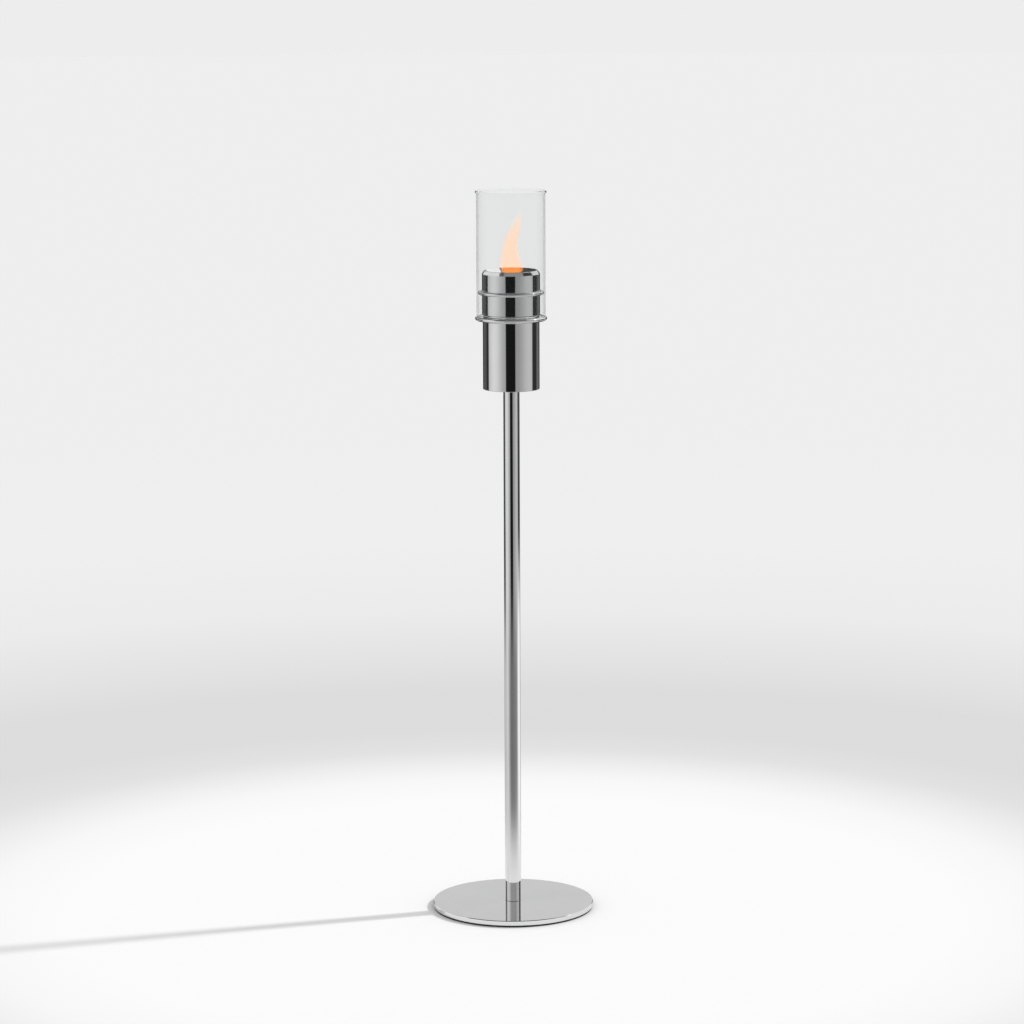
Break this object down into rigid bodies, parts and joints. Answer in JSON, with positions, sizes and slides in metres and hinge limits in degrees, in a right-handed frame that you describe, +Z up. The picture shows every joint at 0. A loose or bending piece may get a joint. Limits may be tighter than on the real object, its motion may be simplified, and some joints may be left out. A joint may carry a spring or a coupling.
{
  "type": "garden oil torch",
  "caption": "Free-standing polished steel oil torch with a round foot plate, slim pole, lift-out burner with a funnel top, wire rings and a clear glass cylinder.",
  "frame": {"origin": "centre of the foot's underside, on the surface that the torch stands on", "axes": "+Z up along the pole; the front faces -Y, and the torch looks the same from all sides but for the small ring pins"},
  "size_m": [0.25, 0.25, 1.122],
  "materials": {
    "polished_steel": "mirror-polished stainless steel",
    "plain_steel": "plain rolled stainless sheet",
    "zinc_steel": "zinc-plated, dull",
    "brass": "satin",
    "rubber": "matt black",
    "wick_fibre": "braided glass fibre, charred at the top",
    "clear_glass": "clear, fire-polished edge"
  },
  "bodies": {
    "stand": {"base_pad": "rubber", "base_plate": "polished_steel", "base_washer": "zinc_steel", "base_bolt": "zinc_steel", "pole_foot_insert": "zinc_steel", "pole_tube": "polished_steel", "pole_head_insert": "zinc_steel", "holder_cup": "polished_steel", "cup_washer": "zinc_steel", "cup_bolt": "zinc_steel", "lower_ring": "polished_steel", "lower_ring_pin_1": "polished_steel", "lower_ring_pin_2": "polished_steel", "lower_ring_pin_3": "polished_steel"},
    "burner": {"oil_can": "plain_steel", "burner_head": "polished_steel", "upper_ring": "polished_steel", "upper_ring_pin_1": "polished_steel", "upper_ring_pin_2": "polished_steel", "upper_ring_pin_3": "polished_steel"},
    "wick_holder": {"collar_gasket": "rubber", "wick_collar": "polished_steel", "wick_tube": "brass"},
    "wick": {"wick": "wick_fibre"},
    "glass": {"glass_chimney": "clear_glass"}
  },
  "joints": [
    {"name": "burner_lift", "type": "slide", "parent": "stand", "child": "burner", "axis": [0, 0, 1], "range_m": [0, 0.17]},
    {"name": "glass_lift", "type": "slide", "parent": "stand", "child": "glass", "axis": [0, 0, 1], "range_m": [0, 0.2]},
    {"name": "wick_holder_lift", "type": "slide", "parent": "burner", "child": "wick_holder", "axis": [0, 0, 1], "range_m": [0, 0.17]},
    {"name": "wick_adjust", "type": "slide", "parent": "wick_holder", "child": "wick", "axis": [0, 0, 1], "range_m": [-0.004, 0.01]}
  ]
}
